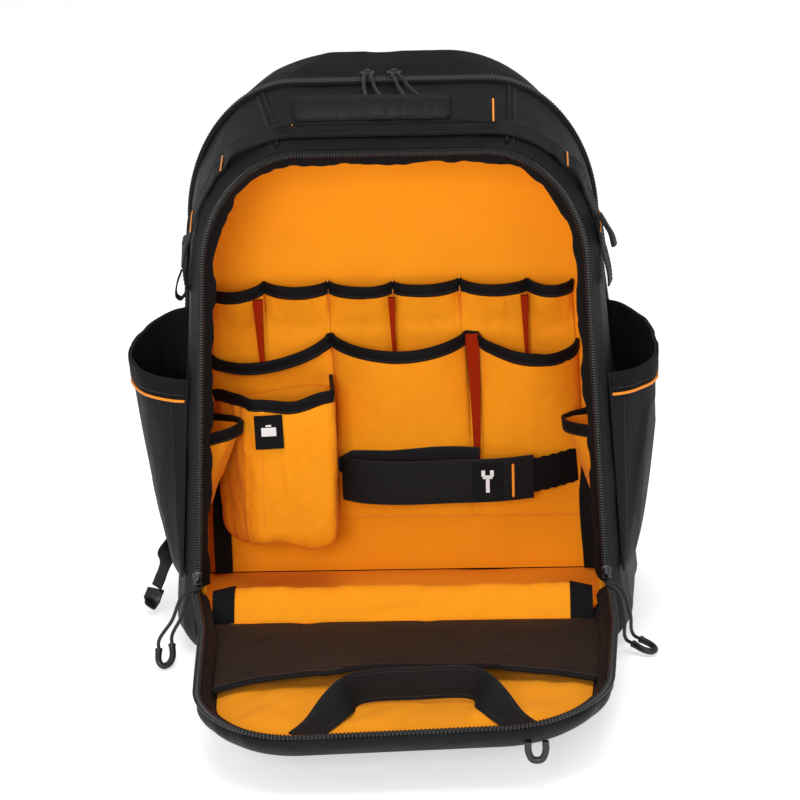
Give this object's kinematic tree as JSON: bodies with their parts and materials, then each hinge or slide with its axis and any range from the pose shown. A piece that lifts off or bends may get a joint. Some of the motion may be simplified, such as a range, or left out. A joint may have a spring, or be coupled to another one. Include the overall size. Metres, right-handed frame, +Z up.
{
  "type": "tool backpack",
  "caption": "Upright cloth backpack for hand tools, standing open: front flap down, orange-lined compartment with pocket rows, battery pocket, side pockets, top handle and shoulder straps.",
  "frame": {"origin": "on the floor under the body, midway between its sides, on the body's flat bottom", "axes": "+X to the right seen from the open front, +Y from the open front to the back pad, +Z up"},
  "size_m": [0.4211, 0.5666, 0.445],
  "materials": {
    "black_binding": "black ribbed binding tape, matte",
    "black_cloth": "tight black weave with a faint sheen",
    "black_cord": "round braided black cord",
    "black_foam": "foam covered with black air mesh",
    "black_mesh": "open black net",
    "black_plastic": "moulded black plastic",
    "black_webbing": "black ribbed webbing",
    "grey_leather": "dark grey grained leatherette",
    "orange_cloth": "plain-weave orange lining, matte",
    "zip_metal": "gunmetal"
  },
  "bodies": {
    "root": {"body_shell": "black_cloth", "rear_shell": "black_cloth", "side_lining": "orange_cloth", "floor_board": "orange_cloth", "divider_panel": "orange_cloth", "hinge_panel": "black_cloth", "sill_roll": "orange_cloth", "opening_tape": "black_binding", "body_zip_coil": "black_plastic", "rear_zip": "black_binding", "upper_pocket_1": "orange_cloth", "upper_pocket_2": "orange_cloth", "upper_pocket_3": "orange_cloth", "upper_pocket_4": "orange_cloth", "upper_pocket_5": "orange_cloth", "upper_pocket_6": "orange_cloth", "lower_pocket_left": "orange_cloth", "lower_pocket_centre": "orange_cloth", "lower_pocket_right": "orange_cloth", "upper_binding": "black_binding", "lower_binding": "black_binding", "battery_pocket": "orange_cloth", "battery_binding": "black_binding", "tool_strap": "black_webbing", "strap_elastic": "black_binding", "inner_pocket_left": "orange_cloth", "inner_pocket_right": "orange_cloth", "outer_pocket_left": "black_cloth", "outer_pocket_right": "black_cloth", "flap_shell": "black_cloth", "flap_lining": "orange_cloth", "flap_zip_coil": "black_plastic", "mesh_pocket": "black_mesh", "flap_pouch": "black_cloth", "flap_handle": "black_webbing", "shoulder_webbing": "black_webbing", "handle_grip": "grey_leather", "handle_webbing_left": "black_webbing", "handle_webbing_right": "black_webbing", "back_pad": "black_foam", "shoulder_strap_left": "black_foam", "strap_webbing_left": "black_webbing", "shoulder_strap_right": "black_foam", "strap_webbing_right": "black_webbing", "strap_tail": "black_webbing", "strap_tip": "black_plastic", "front_slider_left": "zip_metal", "front_slider_right": "zip_metal", "rear_slider_left": "zip_metal", "rear_slider_right": "zip_metal", "front_pull_left_cord": "black_cord", "front_pull_left_end": "black_plastic", "front_pull_right_cord": "black_cord", "front_pull_right_end": "black_plastic", "rear_pull_left_cord": "black_cord", "rear_pull_left_end": "black_plastic", "rear_pull_right_cord": "black_cord", "rear_pull_right_end": "black_plastic", "flap_pull_end": "black_plastic"}
  },
  "joints": []
}
